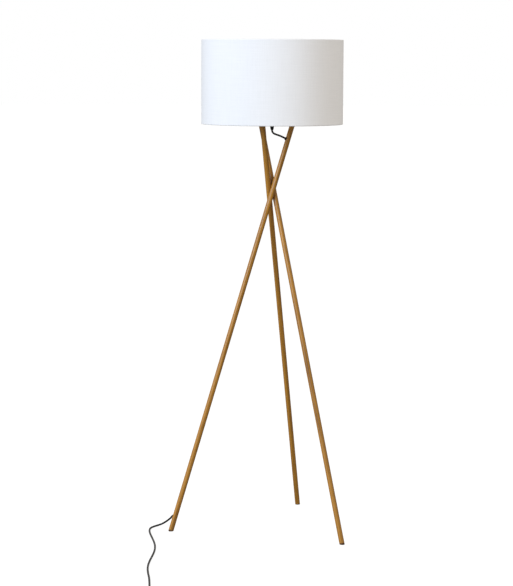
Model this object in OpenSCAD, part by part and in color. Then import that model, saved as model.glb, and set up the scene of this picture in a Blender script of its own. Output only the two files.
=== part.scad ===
// Tripod floor lamp: a drum shade on three tube legs that cross at a narrow waist.
// Origin on the lamp's axis at floor level, +Z up. All sizes in millimetres.

/* [Shade] */
// Outside diameter of the drum shade
shade_d = 440; // [340:1:520]
// Height of the drum shade
shade_h = 260; // [200:1:320]
// Height of the shade's lower edge above the floor
shade_z = 1274; // [1230:1:1276]
// Thickness of the shade's cloth
fabric_t = 0.6; // [0.4:0.1:1.2]
// Thickness of the stiff liner behind the cloth
liner_t = 0.5; // [0.3:0.1:1]
// Wire thickness of the shade's two rings and of its arms
wire_d = 3; // [2.4:0.1:4]
// Height of the cloth turned in over each ring
hem_h = 12; // [8:1:20]

/* [Legs] */
// Outside diameter of the leg tube
leg_d = 16; // [12:1:22]
// Wall of the leg tube
leg_wall = 1.2; // [0.8:0.1:2]
// Lean of each leg from upright
lean = 16.76; // [12:0.01:20]
// Height at which the legs cross
waist_z = 1065; // [1000:1:1100]
// Compass angle of the first leg at the crossing
leg_turn = -78.26; // [-180:0.01:180]
// Gap between two legs where they pass, filled by the weld
leg_gap = 0.4; // [0.2:0.1:1]
// Height of the screwed joint between a leg's two sections
section_z = 630; // [500:1:800]
// Length of the screwed connector inside each joint
connector_l = 50; // [30:1:80]
// Radius of each weld bead at the crossing
weld_r = 5.5; // [5:0.1:7]

/* [Feet] */
// Least thickness of the rubber foot under the tube
foot_t = 2; // [1:0.5:5]
// Length of the foot's plug inside the tube
foot_plug_l = 18; // [10:1:30]

/* [Top bracket] */
// Height of the bracket's underside
bracket_z = 1282; // [1278:1:1290]
// Thickness of the bracket plate
bracket_t = 3; // [2:0.5:4]
// Width of each bracket arm
arm_w = 14; // [10:1:18]
// Radius of the bracket's round middle
hub_r = 20; // [14:1:26]
// Radius of the pad that sits on each leg
pad_r = 10; // [9:0.5:12]
// Thread diameter of the screws that hold the legs
screw_d = 5; // [4:1:6]
// Length of the threaded plug in each leg's top
plug_l = 24; // [15:1:35]

/* [Lampholder] */
// Diameter of the hollow threaded rod
nipple_d = 10; // [9:0.5:13]
// Bore of the hollow threaded rod
nipple_bore = 7.6; // [6.6:0.1:8]
// Outside diameter of the lampholder
holder_d = 39; // [36:0.5:44]
// Height of the lampholder's lower cap
cap_h = 24; // [20:1:30]
// Height of the lampholder's upper body
holder_h = 42; // [38:1:50]
// Diameter of the bulb's screw cap
bulb_cap_d = 26.4; // [24:0.1:27]
// Diameter of the bulb's globe
bulb_d = 60; // [45:1:80]
// Width across the flats of the nut under the bracket
nut_af = 14; // [13:1:17]
// Length of the cable gland below the nut
gland_l = 21.5; // [20:0.5:24]
// Outside diameter of the cable gland
gland_d = 12.6; // [12:0.1:16]

/* [Lead] */
// Diameter of the mains lead
lead_d = 6; // [5:0.1:6.4]
// Place along the first leg, from the crossing, where the lead goes in
entry_s = 170; // [165:0.5:175]
// Height above the floor where the lead comes out of the first leg
exit_z = 52; // [50:1:54]
// Outside diameter of the collar of each grommet
grommet_d = 11.6; // [10:0.1:13]
// Mean radius of the stored coil's outermost turn
coil_r = 39; // [36:0.5:42]
// Thickness of the tie round the coil
tie_t = 0.8; // [0.5:0.1:1]
// Width of the tie round the coil
tie_w = 10; // [6:1:16]

/* [Foot switch] */
// Length of the foot switch
switch_l = 72; // [70:0.5:74]
// Width of the foot switch
switch_w = 46; // [42:0.5:50]
// Height of the foot switch's base
switch_base_h = 8; // [8:0.5:9]
// Height of the foot switch's cover
switch_cover_h = 10; // [10:0.5:13]
// Wall of the foot switch's two shells
switch_wall = 2; // [1.5:0.1:2.5]
// Diameter of the foot button
button_d = 30; // [24:0.5:31]
// Travel of the foot button
button_travel = 3; // [2:0.1:3.2]

/* [Plug] */
// Length of the plug's body
plug_body_l = 34; // [30:0.5:38]
// Width of the plug's body
plug_body_w = 30; // [28:0.5:34]
// Height of the plug's body
plug_body_h = 14; // [13:0.5:14]
// Distance between the plug's pins
pin_pitch = 18.6; // [17:0.1:19]

/* [Hidden] */
$fn = 48;

snug = 0.05;
seat = 0.1;
slip = 0.3;
big = 4000;

// Shade
shade_r = shade_d / 2;
shade_top = shade_z + shade_h;
liner_r = shade_r - fabric_t - snug;
ring_r = liner_r - liner_t - snug - wire_d / 2;
flap_r = ring_r - wire_d / 2 - snug;
ring_low_z = shade_z + fabric_t + snug + wire_d / 2;
ring_high_z = shade_top - fabric_t - snug - wire_d / 2;
spider_arms = 3;
notch_w = wire_d + 2;

// Legs: a leg's own frame has its origin where it passes the axis, +Z up the leg
leg_r = leg_d / 2;
bore_r = leg_r - leg_wall;
waist_r = (leg_d + leg_gap) * sqrt(pow(cos(lean), 2) + pow(sin(lean), 2) / 4) / (sqrt(3) * cos(lean));
pad_share = 0.92;
top_s = (bracket_z - pad_share * pad_r * sin(lean) - waist_z) / cos(lean);
end_s = (foot_t + leg_r * sin(lean) - waist_z) / cos(lean);
section_s = (section_z - waist_z) / cos(lean);
floor_s = -waist_z / cos(lean) - leg_d;

// Lead ports: the lead goes in on the axis side and comes out at the back
entry_side = 270;
entry_slant = 13;
exit_s = (exit_z - waist_z) / cos(lean);
exit_side = 180;
exit_slant = -31;
lead_r = lead_d / 2;
port_bore = lead_r + slip;
port_r = port_bore + 1.2;

// Lampholder, stacked up from the bracket
holder_r = holder_d / 2;
holder_z = bracket_z + bracket_t;
holder_wall = 2.5;
body_z = holder_z + cap_h;
thread_depth = 8;
washer_t = 1.5;
nut_t = 3;
nut_top = bracket_z - washer_t;
gland_top = nut_top - nut_t;
gland_z = gland_top - gland_l;
nipple_r = nipple_d / 2;
core_z = body_z - 6;
core_h = 14;
contact_h = 3;
sleeve_h = 29;
sleeve_t = 0.5;
bulb_z = core_z + core_h + contact_h;
bulb_cap_h = 24;
bulb_cap_r = bulb_cap_d / 2;
bulb_tip_h = 3;
glass_t = 0.8;
globe_z = bulb_z + 74 * bulb_d / 60;
neck_z = bulb_z + bulb_tip_h + bulb_cap_h;
thread_ridge = 0.5;
thread_pitch = 3;
shade_ring_h = 6;
shade_ring_r = holder_r + thread_ridge + snug;
shade_ring_w = 7;
lower_ring_z = body_z + 6;
hub_z = lower_ring_z + shade_ring_h;
hub_t = 2.5;
upper_ring_z = hub_z + hub_t;

// Lead routes: chosen points, in millimetres
jumper_route = [
  [0, 0, gland_z], [0.5, 0, gland_z - 3.6], [2, 0, gland_z - 7], [4.6, 0, gland_z - 9.9],
  [8.5, 0, gland_z - 12.2], [14, 0, gland_z - 14.2], [20, 0, gland_z - 16.2],
  [27, 0, gland_z - 18.9], [33, -0.3, gland_z - 21.6], [38, -0.6, gland_z - 24],
  port_mouth(entry_s, entry_side)
];
in_leg_route = [
  [0, -leg_r, entry_s], [0, -5, entry_s - 1], [0, -2, entry_s - 3.6], [0, 0.6, entry_s - 8],
  [0, 2, entry_s - 15], [0, 1.4, entry_s - 40], [0, 0, entry_s - 120],
  [0, 0, exit_s + 140], [2, 0, exit_s + 60], [3, 0, exit_s + 26],
  [1.6, 0, exit_s + 17], [-1.2, 0, exit_s + 8.5], [-leg_r, 0, exit_s]
];
floor_route = [
  port_mouth(exit_s, exit_side),
  [-308, -51, 43], [-314, -39, 34], [-322, -28, 25], [-332, -19, 16], [-345, -15, 8],
  [-359, -19, 4], [-370, -31, 3], [-377, -48, 3], [-379, -70, 3], [-377, -100, 3],
  [-371, -140, 3], [-362, -190, 3], [-354, -240, 3], [-349, -290, 3], [-348, -340, 3],
  [-351, -400, 3], [-355, -460, 3], [-356, -520, 3], [-352, -580, 3], [-345, -640, 3],
  [-340, -700, 3], [-337, -750, 3], [-336, -775, 4.5], [-336, -795, 7.4], [-336, -814, 8]
];
coil_route = [
  [-336, -886, 8], [-336, -900, 7.6], [-335, -912, 6], [-331, -923, 4.4], [-323, -933, 3.8],
  [-311, -939, 3.8], [-297, -940, 3.8], [-275, -940, 3.8], [-250, -940, 3.8]
];
tail_route = [
  [-200, -901, 9], [-199, -886, 8.4], [-199, -870, 6], [-202, -856, 4], [-209, -844, 4],
  [-219, -836, 5.4], [-231, -833, 7]
];
coil_at = [-236, -901, 0];
coil_turns_low = 3;
coil_width = coil_turns_low * lead_d;
coil_top = tie_t + 2 * lead_d - 0.8;
coil_in_r = coil_r + lead_r - coil_width;
coil_out_r = coil_r + lead_r;
tie_angle = 180;

// Foot switch, in its own frame with the lead along Y
switch_at = [-336, -850, 0];
switch_h = switch_base_h + switch_cover_h;
button_r = button_d / 2;
flange_h = 2;
flange_top = switch_h - switch_wall - seat;
button_top = switch_h + 4;
boss_r = 3.5;
boss_at = [[14, 22], [-14, -22]];
block_top = 7;
spring_r = 5.5;
spring_wire = 0.8;
spring_turns = 4;
sleeve_l = 22;
sleeve_r = 6.4;
sleeve_tip_r = 4.4;

// Plug, in its own frame with its pins along +X
plug_at = [-255, -833, 7];
plug_boot_l = 24;
plug_boot_r = 5.8;
plug_tip_r = 4.2;
pin_d = 4;
pin_l = 19;
pin_inside = 8;

function unit(v) = v / norm(v);
function leg_angle(k) = leg_turn + 120 * k;
function leg_point(k, s) = [
  cos(leg_angle(k)) * waist_r - sin(leg_angle(k)) * sin(lean) * s,
  sin(leg_angle(k)) * waist_r + cos(leg_angle(k)) * sin(lean) * s,
  waist_z + cos(lean) * s
];
// A point on the first leg's surface, at a place along it and an angle round it
function port_mouth(s, side) =
  let (x = leg_r * cos(side), y = leg_r * sin(side) * cos(lean), drop = leg_r * sin(side) * sin(lean))
  leg_point(0, s) + [
    cos(leg_turn) * x - sin(leg_turn) * y,
    sin(leg_turn) * x + cos(leg_turn) * y,
    -drop
  ];
function heading(p, i) = unit(p[min(i + 1, len(p) - 1)] - p[max(i - 1, 0)]);
// One side direction per point, each turned as little as possible from the last
function sides(p, i, last) = i == len(p) ? [] :
  let (t = heading(p, i), u = unit(last - (last * t) * t)) concat([u], sides(p, i + 1, u));
function ring_points(p, r, n) =
  let (u = sides(p, 0, [0.31, 0.95, 0.05]))
  [for (i = [0:len(p) - 1])
    let (v = cross(heading(p, i), u[i]))
    for (j = [0:n - 1]) p[i] + r * (cos(360 * j / n) * u[i] + sin(360 * j / n) * v)];

module sweep(p, r, n = 8) {
  last = (len(p) - 1) * n;
  walls = [for (i = [0:len(p) - 2]) for (j = [0:n - 1])
    let (a = i * n + j, b = i * n + (j + 1) % n) [a, a + n, b + n, b]];
  ends = [[for (j = [0:n - 1]) j], [for (j = [n - 1:-1:0]) last + j]];
  polyhedron(points = ring_points(p, r, n), faces = concat(walls, ends), convexity = 10);
}

module tube(r_out, r_in, h) {
  difference() {
    cylinder(r = r_out, h = h);
    translate([0, 0, -1]) cylinder(r = r_in, h = h + 2);
  }
}

module on_leg(k) {
  rotate([0, 0, leg_angle(k)]) translate([waist_r, 0, waist_z]) rotate([-lean, 0, 0]) children();
}

// Puts children at a port in a leg, with +Z pointing out along the lead
module at_port(s, side, slant) {
  translate([0, 0, s]) rotate([0, 0, side]) translate([leg_r, 0, 0])
    rotate([0, 90 - slant, 0]) children();
}

// Shade

module hem(direction) {
  mirror([0, 0, direction]) rotate_extrude($fn = 96) {
    translate([flap_r - fabric_t, -fabric_t]) square([shade_r - flap_r + fabric_t, fabric_t]);
    translate([flap_r - fabric_t, -hem_h]) square([fabric_t, hem_h]);
  }
}

module shade_fabric() {
  color([0.93, 0.93, 0.92]) difference() {
    union() {
      translate([0, 0, shade_z]) rotate_extrude($fn = 96)
        translate([shade_r - fabric_t, 0]) square([fabric_t, shade_h]);
      translate([0, 0, shade_top]) hem(0);
      translate([0, 0, shade_z]) hem(1);
    }
    for (i = [0:spider_arms - 1]) spider_place(i)
      translate([flap_r - 4, -notch_w / 2, ring_low_z - wire_d]) cube([5, notch_w, hem_h]);
  }
}

module shade_liner() {
  color([0.97, 0.97, 0.95]) translate([0, 0, shade_z + fabric_t + snug]) rotate_extrude($fn = 96)
    translate([liner_r - liner_t, 0]) square([liner_t, shade_h - 2 * (fabric_t + snug)]);
}

module wire_ring(z) {
  translate([0, 0, z]) rotate_extrude($fn = 96) translate([ring_r, 0]) circle(d = wire_d, $fn = 24);
}

module shade_top_ring() {
  color([0.9, 0.9, 0.88]) wire_ring(ring_high_z);
}

module shade_bottom_ring() {
  color([0.9, 0.9, 0.88]) wire_ring(ring_low_z);
}

// The arms stand midway between the legs' tops
module spider_place(i) {
  top = leg_point(0, top_s);
  rotate([0, 0, atan2(top[1], top[0]) + 60 + 120 * i]) children();
}

module shade_spider() {
  arm_start = shade_ring_r + shade_ring_w - 2;
  rise = hub_z + hub_t / 2 - ring_low_z;
  run = ring_r - arm_start;
  color([0.9, 0.9, 0.88]) difference() {
    union() {
      translate([0, 0, hub_z]) tube(shade_ring_r + shade_ring_w, shade_ring_r + seat, hub_t);
      for (i = [0:spider_arms - 1]) spider_place(i)
        translate([arm_start, 0, hub_z + hub_t / 2]) rotate([0, 90 + atan2(rise, run), 0])
          cylinder(d = wire_d, h = norm([rise, run]), $fn = 24);
    }
    wire_ring(ring_low_z);
    translate([0, 0, hub_z - shade_ring_h]) cylinder(r = shade_ring_r + shade_ring_w + 1, h = shade_ring_h);
    translate([0, 0, upper_ring_z]) cylinder(r = shade_ring_r + shade_ring_w + 1, h = shade_ring_h);
    for (i = [0:spider_arms - 1]) spider_place(i)
      translate([ring_r, -wire_d, ring_low_z - wire_d]) cube([wire_d, 2 * wire_d, 2 * wire_d]);
  }
}

// A ring nut with grip flutes round its rim
module shade_ring() {
  flutes = 18;
  difference() {
    tube(shade_ring_r + shade_ring_w, shade_ring_r, shade_ring_h);
    for (i = [0:flutes - 1]) rotate([0, 0, 360 * i / flutes])
      translate([shade_ring_r + shade_ring_w + 0.8, 0, -1]) cylinder(r = 1.6, h = shade_ring_h + 2, $fn = 16);
  }
}

module shade_ring_lower() {
  color([0.08, 0.08, 0.08]) translate([0, 0, lower_ring_z]) shade_ring();
}

module shade_ring_upper() {
  color([0.08, 0.08, 0.08]) translate([0, 0, upper_ring_z]) shade_ring();
}

// Lampholder and bulb

module lampholder_cap() {
  neck_r = nipple_r + 6;
  color([0.08, 0.08, 0.08]) translate([0, 0, holder_z]) rotate_extrude() polygon([
    [nipple_r + snug, 0], [neck_r, 0], [neck_r + 1, 1], [neck_r + 1, 4], [holder_r, 15],
    [holder_r, cap_h], [holder_r - holder_wall, cap_h], [holder_r - holder_wall, 16],
    [neck_r, thread_depth], [nipple_r + snug, thread_depth]
  ]);
}

module lampholder_body() {
  lip_h = 3;
  ridges = floor((holder_h - 8) / thread_pitch);
  color([0.08, 0.08, 0.08]) translate([0, 0, body_z]) {
    rotate_extrude() polygon([
      [holder_r - holder_wall, 0], [holder_r, 0], [holder_r, holder_h - 1], [holder_r - 1, holder_h],
      [bulb_cap_r + sleeve_t + slip, holder_h], [bulb_cap_r + sleeve_t + slip, holder_h - lip_h],
      [holder_r - holder_wall, holder_h - lip_h]
    ]);
    for (i = [0:ridges - 1]) translate([0, 0, 4 + i * thread_pitch]) rotate_extrude() polygon([
      [holder_r - 0.2, -thread_ridge - 0.4], [holder_r + thread_ridge, -0.3],
      [holder_r + thread_ridge, 0.3], [holder_r - 0.2, thread_ridge + 0.4]
    ]);
  }
}

module lampholder_core() {
  color([0.85, 0.83, 0.78]) translate([0, 0, core_z]) difference() {
    cylinder(r = holder_r - holder_wall - seat, h = core_h);
    for (side = [-1, 1]) translate([side * 9, 0, -1]) cylinder(r = 2, h = 9);
  }
}

module lampholder_sleeve() {
  color([0.78, 0.66, 0.35]) translate([0, 0, core_z + core_h])
    tube(bulb_cap_r + sleeve_t + seat, bulb_cap_r + seat, sleeve_h);
}

module lampholder_contact() {
  color([0.78, 0.66, 0.35]) translate([0, 0, core_z + core_h]) {
    cylinder(r = 3.5, h = contact_h);
    translate([-10, -2, 0]) cube([10, 4, 0.8]);
  }
}

module bulb_contact() {
  color([0.12, 0.12, 0.14]) translate([0, 0, bulb_z]) rotate_extrude() polygon([
    [0, 0], [4, 0], [5, 0.8], [11, bulb_tip_h], [0, bulb_tip_h]
  ]);
}

module bulb_cap() {
  shell = 0.4;
  color([0.8, 0.8, 0.8]) translate([0, 0, bulb_z + bulb_tip_h]) rotate_extrude() polygon([
    [0, 0], [bulb_cap_r - 2, 0], [bulb_cap_r, 2], [bulb_cap_r, bulb_cap_h],
    [bulb_cap_r - shell, bulb_cap_h], [bulb_cap_r - shell, 2.2], [bulb_cap_r - 2.2, shell], [0, shell]
  ]);
}

// Half outline of the globe and neck, for one wall surface
function glass_outline(r, neck) = concat(
  [for (a = [90:-6:-36]) [r * cos(a), globe_z + r * sin(a)]],
  [[neck + 4 * bulb_d / 60, neck_z + 12], [neck + 0.8, neck_z + 5], [neck, neck_z], [neck, neck_z - 2]]
);

module bulb_glass() {
  neck = bulb_cap_r - 0.4 - seat;
  outer = glass_outline(bulb_d / 2, neck);
  inner = glass_outline(bulb_d / 2 - glass_t, neck - glass_t);
  color([0.96, 0.96, 0.94]) rotate_extrude() polygon(
    concat(outer, [for (i = [len(inner) - 1:-1:0]) inner[i]])
  );
}

module nipple() {
  low = gland_top - thread_depth;
  color([0.75, 0.72, 0.62]) translate([0, 0, low])
    tube(nipple_r, nipple_bore / 2, holder_z + thread_depth - low);
}

module nipple_washer() {
  color([0.7, 0.7, 0.7]) translate([0, 0, nut_top]) tube(nipple_r + 4.5, nipple_r + snug, washer_t);
}

module nipple_nut() {
  color([0.7, 0.7, 0.7]) translate([0, 0, gland_top]) difference() {
    cylinder(r = nut_af / 2 / cos(30), h = nut_t, $fn = 6);
    translate([0, 0, -1]) cylinder(r = nipple_r + snug, h = nut_t + 2);
  }
}

module cable_gland() {
  straight = 11;
  tip_r = lead_r + 1.3;
  color([0.05, 0.05, 0.05]) translate([0, 0, gland_z]) rotate_extrude() polygon([
    [lead_r + snug, 0], [tip_r, 0], [gland_d / 2, gland_l - straight], [gland_d / 2, gland_l],
    [nipple_r + snug, gland_l], [nipple_r + snug, gland_l - thread_depth],
    [lead_r + snug, gland_l - thread_depth]
  ]);
}

// Bracket and legs

module top_bracket() {
  color([0.15, 0.15, 0.15]) difference() {
    union() {
      translate([0, 0, bracket_z]) cylinder(r = hub_r, h = bracket_t);
      for (k = [0:2]) {
        pad = leg_point(k, top_s);
        reach = norm([pad[0], pad[1]]) - 0.65 * pad_r;
        translate([0, 0, bracket_z]) rotate([0, 0, atan2(pad[1], pad[0])])
          translate([0, -arm_w / 2, 0]) cube([reach, arm_w, bracket_t]);
        on_leg(k) translate([0, 0, top_s]) cylinder(r = pad_r, h = bracket_t);
      }
    }
    translate([0, 0, bracket_z - 1]) cylinder(r = nipple_r + seat, h = bracket_t + 2);
    for (k = [0:2]) on_leg(k)
      translate([0, 0, top_s - 1]) cylinder(r = screw_d / 2 + slip, h = bracket_t + 4);
  }
}

module bracket_washers() {
  color([0.7, 0.7, 0.7]) for (k = [0:2]) on_leg(k)
    translate([0, 0, top_s + bracket_t]) tube(screw_d, screw_d / 2 + slip, 1);
}

module bracket_screws() {
  head_s = top_s + bracket_t + 1;
  color([0.7, 0.7, 0.7]) for (k = [0:2]) on_leg(k) difference() {
    union() {
      translate([0, 0, head_s - 18]) cylinder(d = screw_d, h = 18);
      translate([0, 0, head_s]) cylinder(r1 = 0.9 * screw_d, r2 = 0.7 * screw_d, h = 2.6);
    }
    translate([0, 0, head_s + 1]) cylinder(r = 1.7, h = 2, $fn = 6);
  }
}

module leg_top_plugs() {
  color([0.6, 0.6, 0.6]) for (k = [0:2]) on_leg(k) translate([0, 0, top_s - plug_l])
    tube(bore_r - snug, screw_d / 2 + snug, plug_l);
}

module leg_upper(k) {
  color([0.63, 0.46, 0.27]) on_leg(k) difference() {
    translate([0, 0, section_s]) tube(leg_r, bore_r, top_s - section_s);
    if (k == 0) at_port(entry_s, entry_side, entry_slant)
      translate([0, 0, -5]) cylinder(r = port_r + snug, h = 10);
  }
}

module leg_lower(k) {
  color([0.6, 0.43, 0.24]) on_leg(k) difference() {
    translate([0, 0, end_s]) tube(leg_r, bore_r, section_s - end_s);
    if (k == 0) at_port(exit_s, exit_side, exit_slant)
      translate([0, 0, -5]) cylinder(r = port_r + snug, h = 10);
  }
}

module leg_a_upper() { leg_upper(0); }
module leg_b_upper() { leg_upper(1); }
module leg_c_upper() { leg_upper(2); }
module leg_a_lower() { leg_lower(0); }
module leg_b_lower() { leg_lower(1); }
module leg_c_lower() { leg_lower(2); }

module leg_connectors() {
  color([0.6, 0.6, 0.6]) for (k = [0:2]) on_leg(k) translate([0, 0, section_s - connector_l / 2])
    tube(bore_r - snug, lead_r + 1, connector_l);
}

module waist_welds() {
  color([0.42, 0.31, 0.2]) for (k = [0:2]) difference() {
    rotate([0, 0, leg_angle(k) + 60]) translate([waist_r * 0.53, 0, waist_z]) sphere(r = weld_r);
    for (side = [0:2]) on_leg(side) translate([0, 0, -30]) cylinder(r = leg_r, h = 60);
  }
}

module foot(k) {
  color([0.16, 0.12, 0.1]) intersection() {
    on_leg(k) {
      translate([0, 0, floor_s]) cylinder(r = leg_r, h = end_s - floor_s);
      translate([0, 0, end_s - 1]) cylinder(r = bore_r - snug, h = foot_plug_l + 1);
    }
    translate([-big / 2, -big / 2, 0]) cube([big, big, big]);
  }
}

module foot_a() { foot(0); }
module foot_b() { foot(1); }
module foot_c() { foot(2); }

// Lead

module grommet(s, side, slant) {
  color([0.06, 0.05, 0.05]) on_leg(0) difference() {
    union() {
      at_port(s, side, slant) translate([0, 0, -2]) cylinder(r = port_r, h = 3);
      difference() {
        at_port(s, side, slant) translate([0, 0, -5]) cylinder(r = grommet_d / 2, h = 6);
        translate([0, 0, s - 30]) cylinder(r = leg_r, h = 60);
      }
    }
    at_port(s, side, slant) translate([0, 0, -6]) cylinder(r = port_bore, h = 10);
    at_port(s, side, slant) translate([0, 0, -12]) cylinder(r = port_bore, h = 10);
  }
}

module entry_grommet() { grommet(entry_s, entry_side, entry_slant); }
module exit_grommet() { grommet(exit_s, exit_side, exit_slant); }

module lead_in_holder() {
  color([0.05, 0.05, 0.05]) translate([0, 0, gland_z]) cylinder(r = lead_r, h = core_z - gland_z);
}

module lead_jumper() { color([0.05, 0.05, 0.05]) sweep(jumper_route, lead_r); }
module lead_in_leg() { color([0.05, 0.05, 0.05]) on_leg(0) sweep(in_leg_route, lead_r); }
module lead_floor() { color([0.05, 0.05, 0.05]) sweep(floor_route, lead_r); }
module lead_to_coil() { color([0.05, 0.05, 0.05]) sweep(coil_route, lead_r); }
module lead_tail() { color([0.05, 0.05, 0.05]) sweep(tail_route, lead_r); }

module coil_outline() {
  polygon([
    [coil_in_r, tie_t], [coil_out_r, tie_t], [coil_out_r, tie_t + lead_d],
    [coil_out_r - lead_r, coil_top], [coil_in_r + lead_r, coil_top], [coil_in_r, tie_t + lead_d]
  ]);
}

// The stored turns, as the closed ring that they fill
module lead_coil() {
  color([0.05, 0.05, 0.05]) translate(coil_at) rotate_extrude($fn = 64) coil_outline();
}

module coil_tie() {
  color([0.1, 0.1, 0.1]) translate(coil_at) rotate([0, 0, tie_angle]) difference() {
    translate([coil_in_r - tie_t, -tie_w / 2, 0])
      cube([coil_width + 2 * tie_t, tie_w, coil_top + tie_t]);
    translate([coil_in_r - 0.5 * tie_t, -tie_w / 2 - 1, tie_t])
      cube([coil_width + tie_t, tie_w + 2, coil_top - tie_t]);
  }
}

// Foot switch

module stadium(l, w, h) {
  translate([-w / 2, -(l - w) / 2, 0]) cube([w, l - w, h]);
  for (end = [-1, 1]) translate([0, end * (l - w) / 2, 0]) cylinder(d = w, h = h);
}

module lead_holes() {
  translate([0, -switch_l, switch_base_h]) rotate([-90, 0, 0]) cylinder(r = lead_r + snug, h = 2 * switch_l);
}

module switch_base() {
  color([0.07, 0.07, 0.07]) translate(switch_at) difference() {
    stadium(switch_l, switch_w, switch_base_h);
    translate([0, 0, switch_wall])
      stadium(switch_l - 2 * switch_wall, switch_w - 2 * switch_wall, switch_base_h);
    for (p = boss_at) translate([p[0], p[1], -1]) cylinder(r = 1.6, h = switch_wall + 2);
    lead_holes();
  }
}

module switch_cover() {
  color([0.07, 0.07, 0.07]) translate(switch_at) difference() {
    union() {
      difference() {
        translate([0, 0, switch_base_h]) stadium(switch_l, switch_w, switch_cover_h);
        stadium(switch_l - 2 * switch_wall, switch_w - 2 * switch_wall, switch_h - switch_wall);
      }
      for (p = boss_at) translate([p[0], p[1], switch_wall])
        cylinder(r = boss_r, h = switch_h - 2 * switch_wall + 1);
    }
    cylinder(r = button_r + slip, h = switch_h + 1);
    for (p = boss_at) translate([p[0], p[1], 0]) cylinder(r = 1.5, h = switch_h - switch_wall);
    lead_holes();
  }
}

module switch_button() {
  low = flange_top - flange_h;
  stem = low - button_travel - block_top - seat;
  color([0.12, 0.12, 0.12]) translate(switch_at) rotate_extrude() polygon([
    [0, low - stem], [3, low - stem], [3, low], [button_r + 1.5, low],
    [button_r + 1.5, flange_top], [button_r, flange_top], [button_r, button_top - 1.5],
    [button_r - 1.5, button_top], [0, button_top]
  ]);
}

module switch_spring() {
  low = block_top + spring_wire / 2;
  high = flange_top - flange_h - spring_wire / 2;
  steps = 12 * spring_turns;
  coil = [for (i = [0:steps]) [
    spring_r * cos(30 * i), spring_r * sin(30 * i), low + (high - low) * i / steps
  ]];
  color([0.75, 0.75, 0.75]) translate(switch_at) sweep(coil, spring_wire / 2 - 0.02, 6);
}

module switch_block() {
  color([0.8, 0.8, 0.76]) translate(switch_at) translate([-12, -9, switch_wall])
    cube([24, 18, block_top - switch_wall]);
}

module switch_screws() {
  color([0.75, 0.75, 0.75]) translate(switch_at) for (p = boss_at) translate([p[0], p[1], 0.2])
    cylinder(r = 1.45, h = 11);
}

module switch_sleeves() {
  color([0.06, 0.06, 0.06]) translate(switch_at) for (end = [0, 180]) rotate([0, 0, end])
    translate([0, switch_l / 2 + snug, switch_base_h]) rotate([-90, 0, 0]) difference() {
      cylinder(r1 = sleeve_r, r2 = sleeve_tip_r, h = sleeve_l);
      translate([0, 0, -1]) cylinder(r = lead_r + slip, h = sleeve_l + 2);
    }
}

// Plug

module plug_body() {
  corner = 5;
  color([0.06, 0.06, 0.06]) translate(plug_at) rotate([0, 0, 180]) difference() {
    union() {
      translate([-plug_boot_l, 0, 0]) rotate([0, 90, 0])
        cylinder(r1 = plug_tip_r, r2 = plug_boot_r, h = plug_boot_l + 2);
      hull() for (x = [corner, plug_body_l - 2], side = [-1, 1])
        translate([x, side * (plug_body_w / 2 - (x == corner ? 9 : 2)), -plug_body_h / 2])
          cylinder(r = x == corner ? corner : 2, h = plug_body_h, $fn = 24);
    }
    for (side = [-1, 1]) translate([plug_body_l - pin_inside, side * pin_pitch / 2, 0])
      rotate([0, 90, 0]) cylinder(d = pin_d + 2 * snug, h = pin_inside + 1);
  }
}

module plug_pins() {
  color([0.8, 0.8, 0.78]) translate(plug_at) rotate([0, 0, 180])
    for (side = [-1, 1]) translate([plug_body_l - pin_inside + snug, side * pin_pitch / 2, 0])
      rotate([0, 90, 0]) cylinder(d = pin_d, h = pin_l + pin_inside);
}

shade_fabric();
shade_liner();
shade_top_ring();
shade_bottom_ring();
shade_spider();
shade_ring_lower();
shade_ring_upper();
lampholder_cap();
lampholder_body();
lampholder_core();
lampholder_sleeve();
lampholder_contact();
bulb_glass();
bulb_cap();
bulb_contact();
nipple();
nipple_washer();
nipple_nut();
cable_gland();
top_bracket();
bracket_screws();
bracket_washers();
leg_top_plugs();
leg_a_upper();
leg_b_upper();
leg_c_upper();
leg_a_lower();
leg_b_lower();
leg_c_lower();
leg_connectors();
waist_welds();
foot_a();
foot_b();
foot_c();
entry_grommet();
exit_grommet();
lead_in_holder();
lead_jumper();
lead_in_leg();
lead_floor();
lead_to_coil();
lead_coil();
lead_tail();
coil_tie();
switch_base();
switch_cover();
switch_button();
switch_spring();
switch_block();
switch_screws();
switch_sleeves();
plug_body();
plug_pins();
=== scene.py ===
"""Tripod floor lamp: its cloth, leads, finishes and studio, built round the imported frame."""

import math

import bmesh
import bpy
from bpy.props import FloatProperty, FloatVectorProperty, IntProperty, PointerProperty
from mathutils import Matrix, Vector


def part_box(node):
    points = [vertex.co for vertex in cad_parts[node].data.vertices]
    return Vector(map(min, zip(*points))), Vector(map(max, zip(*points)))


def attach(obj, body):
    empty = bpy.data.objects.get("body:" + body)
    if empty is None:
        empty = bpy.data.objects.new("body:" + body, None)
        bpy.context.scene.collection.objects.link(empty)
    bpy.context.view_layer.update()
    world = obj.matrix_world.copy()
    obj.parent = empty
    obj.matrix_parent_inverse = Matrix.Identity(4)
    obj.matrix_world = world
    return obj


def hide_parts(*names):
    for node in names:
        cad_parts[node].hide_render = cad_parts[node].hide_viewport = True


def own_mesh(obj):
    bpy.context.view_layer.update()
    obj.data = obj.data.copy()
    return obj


bl_info = {
    "name": "Tripod Floor Lamp",
    "version": (1, 0, 0),
    "blender": (4, 5, 0),
    "location": "View3D > Sidebar > Lamp",
    "description": "Builds the cloth, leads and finishes of a crossed-leg floor lamp",
    "category": "Add Mesh",
}

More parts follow.
